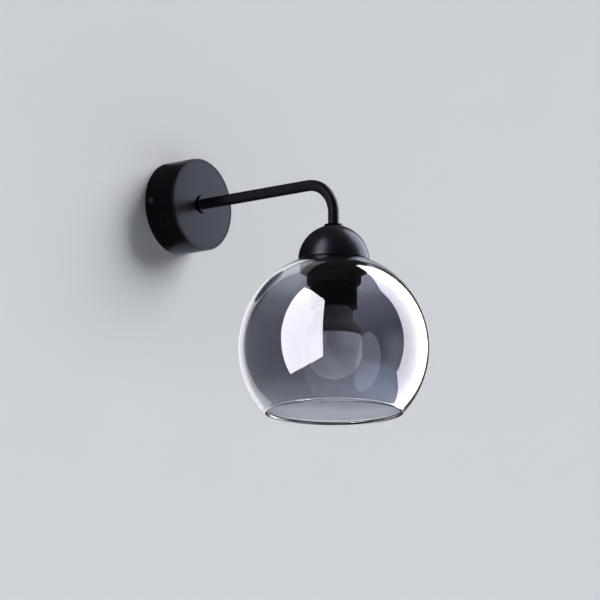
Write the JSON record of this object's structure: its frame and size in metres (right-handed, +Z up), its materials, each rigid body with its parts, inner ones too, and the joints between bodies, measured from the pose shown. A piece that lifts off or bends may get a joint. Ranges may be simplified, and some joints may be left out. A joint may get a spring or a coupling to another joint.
{
  "type": "wall lamp",
  "caption": "Black wall lamp: round canopy, bent tube arm and half-ball dome carrying a smoked glass globe, open below, round a screw-base bulb.",
  "frame": {"origin": "centre of the canopy on the wall, midway between the two wall slots", "axes": "+Z up, +Y into the wall, so the lamp stands out towards -Y; +X to the right seen from the room"},
  "size_m": [0.16, 0.2545, 0.2391],
  "materials": {
    "black_coat": "satin",
    "zinc": "satin",
    "black_zinc": "satin",
    "brass": "satin",
    "nickel": "gloss",
    "black_plastic": "satin",
    "white_moulding": "matte",
    "smoked_glass": "gloss",
    "opal": "satin",
    "bulb_plastic": "satin",
    "black_glaze": "gloss",
    "live_sheath": "satin",
    "neutral_sheath": "satin",
    "earth_sheath": "satin",
    "board": "matte",
    "circuit_board": "satin"
  },
  "bodies": {
    "fixture": {"canopy_cup": "black_coat", "canopy_screws": "black_zinc", "wall_bracket": "zinc", "terminal_block": "white_moulding", "terminal_sleeves": "brass", "terminal_screws": "zinc", "block_screw": "zinc", "earth_screw": "zinc", "earth_tag_bracket": "zinc", "earth_tag_arm": "zinc", "earth_wire": "earth_sheath", "live_wire": "live_sheath", "neutral_wire": "neutral_sheath", "arm_tube": "black_coat", "canopy_collar": "black_coat", "canopy_washer": "zinc", "canopy_nut": "zinc", "dome_collar": "black_coat", "dome_cap": "black_coat", "dome_washer": "zinc", "dome_nut": "zinc", "holder_cap": "black_plastic", "holder_grub_screw": "zinc", "holder_insert": "white_moulding", "live_terminal": "brass", "neutral_terminal": "brass", "holder_terminal_screws": "zinc", "centre_contact": "brass", "screw_shell": "brass", "holder_skirt": "black_plastic"},
    "globe": {"glass_shade": "smoked_glass"},
    "ring": {"shade_ring": "black_plastic"},
    "bulb_feed": {"bulb_contact": "nickel"},
    "bulb": {"bulb_cap": "nickel", "bulb_insulator": "black_glaze", "bulb_housing": "bulb_plastic", "led_board": "board", "driver_board": "circuit_board", "bulb_diffuser": "opal"}
  },
  "joints": [
    {"name": "globe_drop", "type": "slide", "parent": "fixture", "child": "globe", "axis": [0, 0, -1], "range_m": [0, 0.02]},
    {"name": "ring_turn", "type": "hinge", "parent": "globe", "child": "ring", "pos_m": [0, -0.1745, -0.08], "axis": [0, 0, -1], "range_deg": [0, 2880]},
    {"name": "bulb_travel", "type": "slide", "parent": "fixture", "child": "bulb_feed", "axis": [0, 0, -1], "range_m": [0, 0.01451]},
    {"name": "bulb_turn", "type": "hinge", "parent": "bulb_feed", "child": "bulb", "pos_m": [0, -0.1745, -0.12], "axis": [0, 0, -1], "range_deg": [0, 1440]}
  ],
  "couplings": [
    {"joint": "ring_turn", "follows": "globe_drop", "rad_per_m": 2513.3},
    {"joint": "bulb_turn", "follows": "bulb_travel", "rad_per_m": 1731.6}
  ]
}
